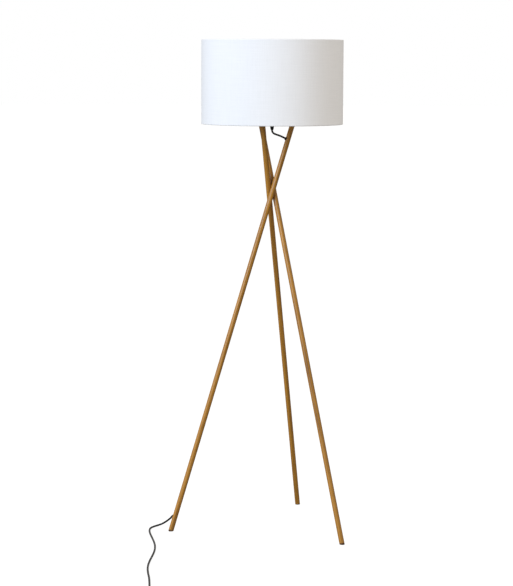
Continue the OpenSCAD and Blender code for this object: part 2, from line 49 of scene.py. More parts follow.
MM = 0.001
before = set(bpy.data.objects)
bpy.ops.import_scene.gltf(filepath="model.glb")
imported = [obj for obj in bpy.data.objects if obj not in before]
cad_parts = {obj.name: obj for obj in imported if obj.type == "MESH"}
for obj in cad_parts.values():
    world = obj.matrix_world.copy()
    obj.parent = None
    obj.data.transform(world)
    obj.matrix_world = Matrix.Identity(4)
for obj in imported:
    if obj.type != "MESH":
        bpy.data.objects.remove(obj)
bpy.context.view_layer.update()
shade_low, shade_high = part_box("shade_fabric")
gland_low, gland_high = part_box("cable_gland")
globe_low, globe_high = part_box("bulb_glass")

# The legs, as the frame has them: the crossing's height, the lean and the first leg's compass angle
WAIST_Z = 1.065
LEAN = math.radians(16.76)
LEG_TURN = math.radians(-78.26)
LEG_RADIUS = 0.008
WAIST_RADIUS = 0.009575

# Routes of the lead, in metres, as the frame has them
GLAND_Z = gland_low.z
JUMPER_ROUTE = [
    (0, 0, GLAND_Z), (0.0005, 0, GLAND_Z - 0.0036), (0.002, 0, GLAND_Z - 0.007),
    (0.0046, 0, GLAND_Z - 0.0099), (0.0085, 0, GLAND_Z - 0.0122), (0.0111, 0, GLAND_Z - 0.0132),
    (0.014, 0, GLAND_Z - 0.0142), (0.0169, 0, GLAND_Z - 0.0152), (0.02, 0, GLAND_Z - 0.0162),
    (0.0235, 0, GLAND_Z - 0.0175), (0.027, 0, GLAND_Z - 0.0189),
    (0.0301, -0.0001, GLAND_Z - 0.0203), (0.033, -0.0003, GLAND_Z - 0.0216),
    (0.038, -0.0006, GLAND_Z - 0.024), (0.0425, -0.001, GLAND_Z - 0.0259),
]
FLOOR_ROUTE = [
    (-0.2984, -0.0636, 0.052), (-0.308, -0.051, 0.043), (-0.314, -0.039, 0.034),
    (-0.322, -0.028, 0.025), (-0.332, -0.019, 0.016), (-0.345, -0.015, 0.008),
    (-0.359, -0.019, 0.004), (-0.37, -0.031, 0.003), (-0.377, -0.048, 0.003),
    (-0.379, -0.07, 0.003), (-0.377, -0.1, 0.003), (-0.371, -0.14, 0.003), (-0.362, -0.19, 0.003),
    (-0.354, -0.24, 0.003), (-0.349, -0.29, 0.003), (-0.348, -0.34, 0.003), (-0.351, -0.4, 0.003),
    (-0.355, -0.46, 0.003), (-0.356, -0.52, 0.003), (-0.352, -0.58, 0.003), (-0.345, -0.64, 0.003),
    (-0.34, -0.7, 0.003), (-0.337, -0.75, 0.003), (-0.336, -0.775, 0.0045),
    (-0.336, -0.795, 0.0074), (-0.336, -0.814, 0.008),
]
COIL_ROUTE = [
    (-0.336, -0.886, 0.008), (-0.336, -0.9, 0.0076), (-0.335, -0.912, 0.006),
    (-0.331, -0.923, 0.0044), (-0.323, -0.933, 0.0038), (-0.311, -0.939, 0.0038),
    (-0.297, -0.94, 0.0038), (-0.275, -0.94, 0.0038), (-0.25, -0.94, 0.0038),
]
TAIL_ROUTE = [
    (-0.199, -0.886, 0.0084), (-0.199, -0.87, 0.006), (-0.202, -0.856, 0.004),
    (-0.209, -0.844, 0.004), (-0.219, -0.836, 0.0054), (-0.231, -0.833, 0.007),
]
COIL_CENTRE = Vector((-0.236, -0.901, 0))
# Mean radius and height of the coil's turns, in the order that they were wound
COIL_TURNS = [(0.039, 0.0038), (0.033, 0.0038), (0.027, 0.0038), (0.03, 0.0092), (0.036, 0.0092)]
SWITCH_CENTRE = Vector((-0.336, -0.85, 0))
PLUG_CENTRE = Vector((-0.255, -0.833, 0.007))
SWITCH_WALL = 0.002
BUTTON_RADIUS = 0.015


def linear(colour):
    """A colour given as sRGB hex, as linear red, green and blue."""
    channels = (int(colour[i : i + 2], 16) / 255 for i in (1, 3, 5))
    return tuple(c / 12.92 if c <= 0.04045 else ((c + 0.055) / 1.055) ** 2.4 for c in channels)


def colour_property(name, description, colour):
    return FloatVectorProperty(
        name=name, description=description, default=linear(colour), subtype="COLOR", size=3,
        min=0, max=1,
    )


class LampSizes(bpy.types.PropertyGroup):
    cloth_t: FloatProperty(
        name="Cloth thickness", description="Thickness of the shade's cloth", default=0.0006,
        unit="LENGTH",
    )
    hem_h: FloatProperty(
        name="Hem height", description="Cloth turned in over each ring", default=0.012,
        unit="LENGTH",
    )
    lap_w: FloatProperty(
        name="Lap width", description="Where the cloth's two ends overlap", default=0.012,
        unit="LENGTH",
    )
    shade_segments: IntProperty(
        name="Shade segments", description="Steps round the shade", default=192, min=48
    )
    lead_d: FloatProperty(
        name="Lead diameter", description="Thickness of the mains lead", default=0.006,
        unit="LENGTH",
    )
    jumper_l: FloatProperty(
        name="Upper lead", description="Length of the lead from the gland to the leg",
        default=0.053, unit="LENGTH",
    )
    floor_lead_l: FloatProperty(
        name="Lead to switch", description="Length of the lead from the leg to the foot switch",
        default=0.9, unit="LENGTH",
    )
    plug_lead_l: FloatProperty(
        name="Lead to plug", description="Length of the lead from the foot switch to the plug",
        default=1.32, unit="LENGTH",
    )
    foot_bevel: FloatProperty(
        name="Foot edge", description="Rounding of each foot's lower edge", default=0.0012,
        unit="LENGTH",
    )


class LampColours(bpy.types.PropertyGroup):
    cloth: colour_property("Cloth", "The shade's woven cloth", "#f3f3f3")
    liner: colour_property("Liner", "The stiff liner inside the shade", "#f5f4ef")
    wood_light: colour_property("Light grain", "The legs' lighter grain", "#bd8329")
    wood_dark: colour_property("Dark grain", "The legs' darker grain", "#7f5010")


def sizes():
    return bpy.context.scene.lamp_sizes


def colours():
    return bpy.context.scene.lamp_colours


# Materials


def new_material(name, inputs, like_metal=False):
    """A material with its output, its shader and the values that are the same all over it."""
    made = bpy.data.materials.new(name)
    made.use_nodes = True
    tree = made.node_tree
    tree.nodes.clear()
    shader = add(tree, "ShaderNodeBsdfPrincipled", inputs)
    if like_metal:
        shader.inputs["Metallic"].default_value = 1
    add(tree, "ShaderNodeOutputMaterial", links={"Surface": shader.outputs["BSDF"]})
    return made, tree, shader


def add(tree, kind, inputs=None, links=None, stops=(), **settings):
    """Adds a node: its settings, input values, sockets that feed it and (place, colour) stops."""
    node = tree.nodes.new(kind)
    for name, value in settings.items():
        setattr(node, name, value)
    for name, value in (inputs or {}).items():
        node.inputs[name].default_value = value
    for name, socket in (links or {}).items():
        tree.links.new(socket, node.inputs[name])
    for i, (place, colour) in enumerate(stops):
        if i > 1:
            node.color_ramp.elements.new(place)
        node.color_ramp.elements[i].position = place
        node.color_ramp.elements[i].color = rgba(colour)
    return node


def rgba(colour):
    return (*colour, 1)


def shaded(colour, share):
    return tuple(min(1.0, c * share) for c in colour)


def woven_polycotton():
    """Plain-woven polyester and cotton: matt, with faint slubs both ways and a soft sheen."""
    made, tree, shader = new_material(
        "woven_polycotton", {"Roughness": 0.9, "Sheen Weight": 0.1, "Sheen Roughness": 0.5}
    )
    coords = add(tree, "ShaderNodeUVMap", uv_map="cloth")
    # Real slubs are about 0.6 mm wide; they are drawn 3 mm wide and 80 mm long, so that they show
    threads = []
    for scale in ((12, 330, 1), (330, 12, 1)):
        space = add(tree, "ShaderNodeMapping", {"Scale": scale}, {"Vector": coords.outputs["UV"]})
        threads.append(
            add(tree, "ShaderNodeTexNoise", {"Scale": 1, "Detail": 3}, {"Vector": space.outputs[0]})
        )
    weft, warp = threads
    slubs = add(
        tree, "ShaderNodeMath", None, {0: weft.outputs["Fac"], 1: warp.outputs["Fac"]},
        operation="ADD",
    )
    half = add(tree, "ShaderNodeMath", {1: 0.5}, {0: slubs.outputs[0]}, operation="MULTIPLY")
    # The threads cross every 0.5 mm; their relief is drawn at 1.2 mm
    weave = add(
        tree, "ShaderNodeTexNoise", {"Scale": 800, "Detail": 1}, {"Vector": coords.outputs["UV"]}
    )
    relief = add(
        tree, "ShaderNodeMath", {1: 0.4}, {0: weave.outputs["Fac"], 2: half.outputs[0]},
        operation="MULTIPLY_ADD",
    )
    cloth = tuple(colours().cloth)
    tint = add(
        tree, "ShaderNodeValToRGB", None, {"Fac": half.outputs[0]},
        stops=[(0.35, shaded(cloth, 0.965)), (0.65, shaded(cloth, 1.01))],
    )
    bump = add(
        tree, "ShaderNodeBump", {"Strength": 0.3, "Distance": 0.0004}, {"Height": relief.outputs[0]}
    )
    tree.links.new(tint.outputs["Color"], shader.inputs["Base Color"])
    tree.links.new(bump.outputs["Normal"], shader.inputs["Normal"])
    return made


def styrene_liner():
    """Self-adhesive styrene sheet: smooth, white and faintly glossy, with slow waves."""
    made, tree, shader = new_material(
        "styrene_liner", {"Base Color": rgba(colours().liner), "Roughness": 0.42}
    )
    coords = add(tree, "ShaderNodeTexCoord")
    # Waves about 70 mm long, from the rolling on of the sheet
    waves = add(
        tree, "ShaderNodeTexNoise", {"Scale": 14, "Detail": 2}, {"Vector": coords.outputs["Object"]}
    )
    bump = add(
        tree, "ShaderNodeBump", {"Strength": 0.15, "Distance": 0.002},
        {"Height": waves.outputs["Fac"]},
    )
    tree.links.new(bump.outputs["Normal"], shader.inputs["Normal"])
    return made


def moulded(name, colour, grain_mm, depth_mm, contrast, roughness, **sockets):
    """A moulded, coated or fired finish: fine grain in its relief, wear in its tone and gloss."""
    inputs = {socket.replace("_", " "): value for socket, value in sockets.items()}
    made, tree, shader = new_material(name, inputs)
    coords = add(tree, "ShaderNodeTexCoord")
    grain = add(
        tree, "ShaderNodeTexNoise", {"Scale": 1 / (grain_mm * MM), "Detail": 4},
        {"Vector": coords.outputs["Object"]},
    )
    # Rubbed and dusty patches are about 22 mm across
    wear = add(
        tree, "ShaderNodeTexNoise", {"Scale": 45, "Detail": 3}, {"Vector": coords.outputs["Object"]}
    )
    tint = add(
        tree, "ShaderNodeValToRGB", None, {"Fac": wear.outputs["Fac"]},
        stops=[(0.35, shaded(colour, 1 - contrast)), (0.65, shaded(colour, 1 + contrast))],
    )
    gloss = add(
        tree, "ShaderNodeMapRange", {"To Min": roughness - 0.06, "To Max": roughness + 0.06},
        {"Value": wear.outputs["Fac"]},
    )
    bump = add(
        tree, "ShaderNodeBump", {"Strength": 0.5, "Distance": depth_mm * MM},
        {"Height": grain.outputs["Fac"]},
    )
    tree.links.new(tint.outputs["Color"], shader.inputs["Base Color"])
    tree.links.new(gloss.outputs["Result"], shader.inputs["Roughness"])
    tree.links.new(bump.outputs["Normal"], shader.inputs["Normal"])
    return made


def wood_grain_transfer(leg):
    """Wood-grain film heat-set on steel tube, satin lacquered: long streaks down the leg."""
    made, tree, shader = new_material(
        f"wood_grain_transfer_{leg}", {"Coat Weight": 0.3, "Coat Roughness": 0.22}
    )
    to_leg = leg_frame("abc".index(leg)).inverted()
    coords = add(tree, "ShaderNodeTexCoord")
    in_leg = add(
        tree, "ShaderNodeMapping",
        {"Location": to_leg.to_translation(), "Rotation": to_leg.to_euler("XYZ")},
        {"Vector": coords.outputs["Object"]},
    )
    # Streaks 1.4 mm wide and 100 mm long over bands 6 mm wide and 300 mm long; real pores of
    # 0.2 mm are drawn 0.8 mm wide, so that they show
    layers = []
    for scale, noise in (
        ((700, 700, 10), {"Detail": 4, "Roughness": 0.6}),
        ((160, 160, 3.3), {"Detail": 3, "Distortion": 0.6}),
        ((1250, 1250, 60), {"Detail": 2}),
    ):
        space = add(tree, "ShaderNodeMapping", {"Scale": scale}, {"Vector": in_leg.outputs[0]})
        layers.append(
            add(tree, "ShaderNodeTexNoise", {"Scale": 1, **noise}, {"Vector": space.outputs[0]})
        )
    streak, band, pore = layers
    figure = add(
        tree, "ShaderNodeMath", {1: 0.7}, {0: band.outputs["Fac"], 2: streak.outputs["Fac"]},
        operation="MULTIPLY_ADD",
    )
    light, dark = tuple(colours().wood_light), tuple(colours().wood_dark)
    tint = add(
        tree, "ShaderNodeValToRGB", None, {"Fac": figure.outputs[0]},
        stops=[(0.62, dark), (0.86, light), (1.0, shaded(light, 1.15))],
    )
    open_grain = add(
        tree, "ShaderNodeValToRGB", None, {"Fac": pore.outputs["Fac"]},
        stops=[(0.3, (0.55, 0.5, 0.45)), (0.42, (1, 1, 1))],
    )
    stained = add(
        tree, "ShaderNodeMix", {"Factor": 1.0},
        {6: tint.outputs["Color"], 7: open_grain.outputs["Color"]},
        data_type="RGBA", blend_type="MULTIPLY",
    )
    gloss = add(
        tree, "ShaderNodeMapRange", {"To Min": 0.36, "To Max": 0.52},
        {"Value": streak.outputs["Fac"]},
    )
    bump = add(
        tree, "ShaderNodeBump", {"Strength": 0.35, "Distance": 0.0002},
        {"Height": streak.outputs["Fac"]},
    )
    tree.links.new(stained.outputs[2], shader.inputs["Base Color"])
    tree.links.new(gloss.outputs["Result"], shader.inputs["Roughness"])
    tree.links.new(bump.outputs["Normal"], shader.inputs["Normal"])
    return made


def bright_metal(name, colour, roughness):
    """Plated, drawn or rolled metal: bright, with the fine marks of its making."""
    made, tree, shader = new_material(name, {"Base Color": rgba(linear(colour))}, like_metal=True)
    coords = add(tree, "ShaderNodeTexCoord")
    # Rings left by turning, 0.4 mm apart and broken every 3 mm
    marks_space = add(
        tree, "ShaderNodeMapping", {"Scale": (300, 300, 2600)}, {"Vector": coords.outputs["Object"]}
    )
    marks = add(
        tree, "ShaderNodeTexNoise", {"Scale": 1, "Detail": 3}, {"Vector": marks_space.outputs[0]}
    )
    gloss = add(
        tree, "ShaderNodeMapRange", {"To Min": roughness - 0.08, "To Max": roughness + 0.1},
        {"Value": marks.outputs["Fac"]},
    )
    bump = add(
        tree, "ShaderNodeBump", {"Strength": 0.2, "Distance": 0.00005},
        {"Height": marks.outputs["Fac"]},
    )
    tree.links.new(gloss.outputs["Result"], shader.inputs["Roughness"])
    tree.links.new(bump.outputs["Normal"], shader.inputs["Normal"])
    return made


def opal_glass():
    """Glass etched and coated white inside: a glossy skin over a milky body."""
    made, tree, shader = new_material(
        "opal_glass",
        {"Base Color": rgba(linear("#f4f3ee")), "Coat Weight": 0.6, "Coat Roughness": 0.06,
         "Subsurface Weight": 0.3, "Subsurface Scale": 0.01},
    )
    coords = add(tree, "ShaderNodeTexCoord")
    # The etch is finer than 0.1 mm; it is drawn at 1.1 mm
    etch = add(
        tree, "ShaderNodeTexNoise", {"Scale": 900, "Detail": 2},
        {"Vector": coords.outputs["Object"]},
    )
    gloss = add(
        tree, "ShaderNodeMapRange", {"To Min": 0.24, "To Max": 0.36}, {"Value": etch.outputs["Fac"]}
    )
    tree.links.new(gloss.outputs["Result"], shader.inputs["Roughness"])
    return made


# Each finish: what it is and how it was made, its colour, grain and relief in mm, contrast and
# roughness. Grain under 0.4 mm is drawn at 0.4 mm or coarser, so that it shows.
MOULDED = {
    # Baked powder: an even, slightly soft gloss with a faint orange peel
    "white_wire": ("white_powder_coat", "#ecebe6", 0.8, 0.03, 0.03, 0.45),
    # Phenolic from a polished mould: hard, dark and a little shiny on its ribs
    "bakelite": ("black_phenolic", "#19191a", 0.6, 0.02, 0.2, 0.36),
    # ABS from a spark-textured mould: grey lights broken up by a fine, even grit
    "switch": ("spark_textured_abs", "#19191a", 0.5, 0.05, 0.2, 0.52),
    # ABS from a smoother mould, rubbed by feet: a softer black than the shell round it
    "button": ("satin_abs", "#262627", 0.7, 0.03, 0.15, 0.4),
    # Fired steatite without a glaze: chalky and matt
    "ceramic": ("unglazed_steatite", "#e4dfd2", 0.4, 0.03, 0.04, 0.7),
    # Uncoloured nylon: a waxy cream
    "inside": ("natural_nylon", "#dedccf", 0.6, 0.02, 0.04, 0.5),
    # Powder over folded steel: a dark satin that hides its bends
    "black_coat": ("black_powder_coat", "#1d1d1e", 0.5, 0.05, 0.15, 0.48),
    # Moulded rubber: a dull black with hardly any highlight
    "rubber": ("black_rubber", "#151515", 0.5, 0.03, 0.2, 0.62),
    # Rubber coloured to go with the legs: a dull brown with dust in it
    "foot": ("brown_rubber", "#5a3c20", 0.6, 0.04, 0.2, 0.68),
    # Extruded PVC: a black with one long, soft light along it
    "lead": ("black_pvc_sheath", "#121212", 0.7, 0.03, 0.2, 0.4),
    # Woven nylon: matt, and rougher than anything near it
    "strap": ("nylon_strap", "#1c1c1d", 0.7, 0.12, 0.3, 0.85),
    # Weld beads under the legs' lacquer: lumpy and darker than the grain
    "weld": ("lacquered_weld", "#5e3c1c", 1.4, 0.2, 0.3, 0.5),
    # Black glass melted into the bulb's cap: nearly a mirror
    "vitrite": ("black_vitrite", "#1a1a20", 1.0, 0.02, 0.1, 0.15),
}
# The same for metals, without grain: they share the fine rings that turning leaves
BRIGHT = {
    # Turned and left bare: a warm yellow
    "brass": ("plain_brass", "#d8b36a", 0.32),
    # Barrel plated: a cool grey with a soft shine
    "zinc": ("zinc_plated_steel", "#c3c5c8", 0.34),
    # Hard drawn: a bright thin line down each coil
    "spring": ("spring_steel_wire", "#b9babd", 0.25),
    # Plated on polished brass: bright and a little warm
    "nickel": ("nickel_plate", "#cfccc4", 0.2),
    # Rolled thin over the bulb's cap: pale and cloudy
    "aluminium": ("rolled_aluminium", "#d5d6d8", 0.3),
}
finishes_made = {}


def finish(name):
    """The named finish, made when it is first asked for."""
    if name not in finishes_made:
        if name in MOULDED:
            real_name, colour, *rest = MOULDED[name]
            finishes_made[name] = moulded(real_name, linear(colour), *rest)
        elif name in BRIGHT:
            finishes_made[name] = bright_metal(*BRIGHT[name])
        elif name.startswith("leg_"):
            finishes_made[name] = wood_grain_transfer(name[-1])
        else:
            others = {"cloth": woven_polycotton, "liner": styrene_liner, "opal": opal_glass}
            finishes_made[name] = others[name]()
    return finishes_made[name]


# Frame of each leg, and mesh helpers


def leg_frame(index):
    """From a leg's own frame, with +Z up the leg, to the lamp's."""
    turn = Matrix.Rotation(LEG_TURN + index * math.tau / 3, 4, "Z")
    return turn @ Matrix.Translation((WAIST_RADIUS, 0, WAIST_Z)) @ Matrix.Rotation(-LEAN, 4, "X")


def mesh_piece(name, bm, material, slot, *replaced, body="lamp", smooth=True):
    """Turns a bmesh into a finished piece that rides on the lamp and stands for its CAD nodes."""
    bmesh.ops.remove_doubles(bm, verts=bm.verts, dist=1e-6)
    bmesh.ops.recalc_face_normals(bm, faces=bm.faces)
    for face in bm.faces:
        face.smooth = smooth
    mesh = bpy.data.meshes.new(name)
    bm.to_mesh(mesh)
    bm.free()
    piece = bpy.data.objects.new(name, mesh)
    bpy.context.scene.collection.objects.link(piece)
    mesh.materials.append(finish(material))
    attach(piece, body)
    if replaced:
        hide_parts(*replaced)
    return piece


def sharpen(piece, degrees=35):
    """Keeps edges that turn by more than so many degrees crisp."""
    bm = bmesh.new()
    bm.from_mesh(piece.data)
    for edge in bm.edges:
        edge.smooth = not (edge.is_manifold and edge.calc_face_angle() > math.radians(degrees))
    bm.to_mesh(piece.data)
    bm.free()


def lathe(bm, outline, segments, matrix=Matrix.Identity(4)):
    """Spins an outline of (radius, height) points round the Z axis, and then places it."""
    points = [bm.verts.new((r, 0, z)) for r, z in outline]
    edges = [bm.edges.new(pair) for pair in zip(points, points[1:])]
    bmesh.ops.spin(
        bm, geom=points + edges, axis=(0, 0, 1), cent=(0, 0, 0), angle=math.tau, steps=segments,
        use_merge=True,
    )
    bmesh.ops.remove_doubles(bm, verts=bm.verts, dist=1e-7)
    bmesh.ops.transform(bm, matrix=matrix, verts=bm.verts)
    return bm


def arc(centre, radius, start, end, steps):
    """Points (radius, height) on an arc, angles in degrees from the outward direction."""
    turned = [math.radians(start + (end - start) * i / steps) for i in range(steps + 1)]
    return [(centre[0] + radius * math.cos(a), centre[1] + radius * math.sin(a)) for a in turned]


def lead_piece(name, route, diameter, slot, *replaced):
    """A round lead along a smooth curve through its route's points."""
    curve = bpy.data.curves.new(name, "CURVE")
    curve.dimensions = "3D"
    curve.bevel_depth = diameter / 2
    curve.bevel_resolution = 4
    curve.resolution_u = 5
    curve.use_fill_caps = True
    spline = curve.splines.new("BEZIER")
    spline.bezier_points.add(len(route) - 1)
    for point, place in zip(spline.bezier_points, route):
        point.co = place
        point.handle_left_type = point.handle_right_type = "AUTO"
    piece = bpy.data.objects.new(name, curve)
    bpy.context.scene.collection.objects.link(piece)
    curve.materials.append(finish("lead"))
    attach(piece, "lamp")
    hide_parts(*replaced)
    return piece


def coil_points(steps=16):
    """The coil's turns: each one eases into the next over its last quarter."""
    places = []
    for turn, (radius, height) in enumerate(COIL_TURNS):
        after = COIL_TURNS[min(turn + 1, len(COIL_TURNS) - 1)]
        for i in range(steps):
            share = max(0.0, (i / steps - 0.75) / 0.25)
            ease = share * share * (3 - 2 * share)
            r = radius + (after[0] - radius) * ease
            z = height + (after[1] - height) * ease
            a = -math.pi / 2 + math.tau * i / steps
            places.append(COIL_CENTRE + Vector((r * math.cos(a), r * math.sin(a), z)))
    last_r, last_z = COIL_TURNS[-1]
    for i in range(steps // 4 + 1):
        a = -math.pi / 2 + math.tau * i / steps
        places.append(COIL_CENTRE + Vector((last_r * math.cos(a), last_r * math.sin(a), last_z)))
    return [tuple(p) for p in places]


# Operators


class LAMP_OT_camera(bpy.types.Operator):
    """Places the camera at standing eye height, well back from the lamp"""

    bl_idname = "lamp.camera"
    bl_label = "Camera"

    distance: FloatProperty(
        name="Distance", description="From the lamp's middle", default=6.0347, unit="LENGTH"
    )
    height: FloatProperty(
        name="Height", description="Above the floor", default=1.4643, unit="LENGTH"
    )
    pitch: FloatProperty(
        name="Pitch", description="Down from level", default=math.radians(6.787), subtype="ANGLE"
    )
    yaw: FloatProperty(
        name="Yaw", description="To the left", default=math.radians(0.439), subtype="ANGLE"
    )
    roll: FloatProperty(
        name="Roll", description="Anticlockwise", default=math.radians(0.227), subtype="ANGLE"
    )
    lens: FloatProperty(name="Lens", description="Focal length in mm", default=119.06)

    def execute(self, context):
        camera = bpy.data.objects.new("camera", bpy.data.cameras.new("camera"))
        context.scene.collection.objects.link(camera)
        camera.data.sensor_width = 36
        camera.data.lens = self.lens
        camera.data.clip_end = 200
        place = Matrix.Translation((0, -self.distance, self.height))
        turned = Matrix.Rotation(self.yaw, 4, "Z")
        tipped = Matrix.Rotation(math.pi / 2 - self.pitch, 4, "X")
        camera.matrix_world = place @ turned @ tipped @ Matrix.Rotation(self.roll, 4, "Z")
        context.scene.camera = camera
        return {"FINISHED"}


class LAMP_OT_leads(bpy.types.Operator):
    """Makes the lead: gland to leg, leg to foot switch, and switch to plug with its coil"""

    bl_idname = "lamp.leads"
    bl_label = "Leads"

    def execute(self, context):
        d = sizes().lead_d
        jumper = lead_piece("lead_upper", JUMPER_ROUTE, d, "lead_black", "lead_jumper")
        to_switch = lead_piece("lead_to_switch", FLOOR_ROUTE, d, "lead_black", "lead_floor")
        switch_pieces = [
            switch_base_piece(), switch_cover_piece(), switch_sleeve_piece(), switch_spring_piece(),
            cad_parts["switch_screws"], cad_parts["switch_block"],
        ]
        plug_route = COIL_ROUTE + coil_points() + TAIL_ROUTE
        to_plug = lead_piece(
            "lead_to_plug", plug_route, d, "lead_black", "lead_to_coil", "lead_coil", "lead_tail"
        )
        strap_piece()
        plug_piece()
        return {"FINISHED"}


def loft_rings(bm, rings, segments=64, closed=False):
    """Skins rings of (radius, half straight run along Y, height); caps or joins the two ends."""
    verts = bmesh.ops.create_circle(bm, cap_ends=False, radius=1, segments=segments)["verts"]
    # Half a step's turn keeps every point off the X axis, so each one belongs to one end
    half_step = Matrix.Rotation(math.pi / segments, 3, "Z")
    bmesh.ops.rotate(bm, cent=(0, 0, 0), matrix=half_step, verts=verts)
    first_edges = edges = list({e for v in verts for e in v.link_edges})
    last_straight = 0
    for place, (radius, straight, height) in enumerate(rings):
        if place:
            grown = bmesh.ops.extrude_edge_only(bm, edges=edges)["geom"]
            verts = [g for g in grown if isinstance(g, bmesh.types.BMVert)]
            edges = [g for g in grown if isinstance(g, bmesh.types.BMEdge) and g.is_boundary]
        for v in verts:
            way = Vector((v.co.x, v.co.y - math.copysign(last_straight, v.co.y))).normalized()
            v.co = (way.x * radius, way.y * radius + math.copysign(straight, way.y), height)
        last_straight = straight
    if closed:
        bmesh.ops.bridge_loops(bm, edges=first_edges + edges)
    else:
        bmesh.ops.contextual_create(bm, geom=first_edges)
        bmesh.ops.contextual_create(bm, geom=edges)


def round_edges(bm, edges, offset, segments=3):
    bmesh.ops.bevel(
        bm, geom=edges, offset=offset, segments=segments, profile=0.5, affect="EDGES", material=-1,
        clamp_overlap=True,
    )


def rim_edges(bm, z, slack=1e-5):
    """Edges that lie flat at a height, at the border between a flat face and a side."""
    found = []
    for edge in bm.edges:
        level = all(abs(v.co.z - z) < slack for v in edge.verts)
        if level and edge.is_manifold and edge.calc_face_angle() > math.radians(20):
            found.append(edge)
    return found


def switch_rings(node, wall):
    """Radius, straight run and heights of a switch shell: outside, and inside its wall."""
    low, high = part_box(node)
    radius = (high.x - low.x) / 2
    straight = (high.y - low.y) / 2 - radius
    return radius, radius - wall, straight, low.z, high.z


def switch_base_piece():
    """The lower shell: an open tray with a rounded sole and a fine step at the parting line."""
    outer, inner, straight, low, high = switch_rings("switch_base", SWITCH_WALL)
    fillet, step, sole = 0.001, 0.0004, 0.0012
    floor = low + SWITCH_WALL
    outline = [(inner - fillet, floor), (inner, floor + fillet), (inner, high)]
    outline += [(outer - step, high), (outer - step, high - step), (outer, high - 1.5 * step)]
    outline += arc((outer - sole, low + sole), sole, 0, -90, 4)
    bm = bmesh.new()
    loft_rings(bm, [(r, straight, z) for r, z in outline])
    bmesh.ops.translate(bm, vec=SWITCH_CENTRE, verts=bm.verts)
    piece = mesh_piece("switch_lower_shell", bm, "switch", "switch_black", "switch_base")
    sharpen(piece)
    return piece


def switch_cover_piece():
    """The upper shell: rounded shoulders and a raised collar round the button's hole."""
    outer, inner, straight, _, high = switch_rings("switch_cover", SWITCH_WALL)
    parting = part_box("switch_base")[1].z
    hole = BUTTON_RADIUS + 0.0003
    shoulder, draft, collar = 0.0035, 0.001, 0.0006
    ceiling = high - SWITCH_WALL
    outside = [(inner, parting), (outer, parting), (outer, parting + 0.002)]
    outside += arc((outer - shoulder - draft, high - shoulder), shoulder, 12, 90, 6)
    rim = [
        (hole + 0.0017, high), (hole + 0.0014, high + collar), (hole + 0.0004, high + collar),
        (hole, high + 0.0002), (hole, ceiling),
    ]
    inside = [(inner - 0.003, ceiling), (inner, ceiling - 0.003)]
    rings = [(r, straight, z) for r, z in outside] + [(r, 0, z) for r, z in rim]
    rings += [(r, straight, z) for r, z in inside]
    bm = bmesh.new()
    loft_rings(bm, rings, closed=True)
    bmesh.ops.translate(bm, vec=SWITCH_CENTRE, verts=bm.verts)
    piece = mesh_piece("switch_upper_shell", bm, "switch", "switch_black", "switch_cover")
    sharpen(piece)
    return piece


def switch_spring_piece():
    """The button's return spring: four turns of round wire."""
    low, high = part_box("switch_spring")
    wire, turns, steps = 0.0004, 4, 24
    mean = (high.x - low.x) / 2 - wire
    bm = bmesh.new()
    ring = bmesh.ops.create_circle(bm, cap_ends=False, radius=wire, segments=8)["verts"]
    bmesh.ops.rotate(bm, cent=(0, 0, 0), matrix=Matrix.Rotation(math.pi / 2, 3, "X"), verts=ring)
    bmesh.ops.translate(bm, vec=(mean, 0, low.z + wire), verts=ring)
    start = list({e for v in ring for e in v.link_edges})
    rise = (high.z - low.z - 2 * wire) / (turns * steps)
    turned = bmesh.ops.spin(
        bm, geom=ring + start, axis=(0, 0, 1), cent=(0, 0, 0), dvec=(0, 0, rise),
        angle=math.tau * turns, steps=turns * steps, use_merge=False,
    )
    end = [g for g in turned["geom_last"] if isinstance(g, bmesh.types.BMEdge)]
    bmesh.ops.contextual_create(bm, geom=start)
    bmesh.ops.contextual_create(bm, geom=end)
    bmesh.ops.translate(bm, vec=SWITCH_CENTRE, verts=bm.verts)
    piece = mesh_piece("button_spring", bm, "spring", "spring_steel", "switch_spring")
    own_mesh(piece)
    return piece


def ribs(length, first, last, root, taper, count=6, groove=0.0007):
    """Outline (radius, height) of soft ribs on a sleeve, between two shares of its length."""
    points = []
    pitch = length * (last - first) / count
    for i in range(count):
        start = length * first + pitch * i
        wide = root - taper * start / length
        points += [(wide, start), (wide, start + 0.55 * pitch)]
        points += [(wide - groove, start + 0.65 * pitch), (wide - groove, start + 0.92 * pitch)]
    return points


def switch_sleeve_piece():
    """Two tapered sleeves with soft ribs, where the lead enters and leaves the switch."""
    low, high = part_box("switch_sleeves")
    height = (low.z + high.z) / 2
    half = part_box("switch_base")[1].y - SWITCH_CENTRE.y
    length = high.y - SWITCH_CENTRE.y - half
    bore, root, tip = sizes().lead_d / 2 + 0.00015, 0.0064, 0.0044
    outline = [(bore, 0), (root, 0), *ribs(length, 0.18, 0.98, root, 0.0018)]
    outline += [(tip, length), (bore, length), (bore, 0)]
    bm = bmesh.new()
    for side in (1, -1):
        outward = Matrix.Rotation(-math.pi / 2 * side, 4, "X")
        place = Matrix.Translation(SWITCH_CENTRE + Vector((0, side * half, height))) @ outward
        join(bm, lathe(bmesh.new(), outline, 24, place))
    piece = mesh_piece("switch_lead_sleeves", bm, "rubber", "switch_black", "switch_sleeves")
    sharpen(piece, 50)
    return piece


def join(bm, part):
    """Adds one bmesh to another, and frees it."""
    held = bpy.data.meshes.new("held")
    part.to_mesh(held)
    part.free()
    bm.from_mesh(held)
    bpy.data.meshes.remove(held)


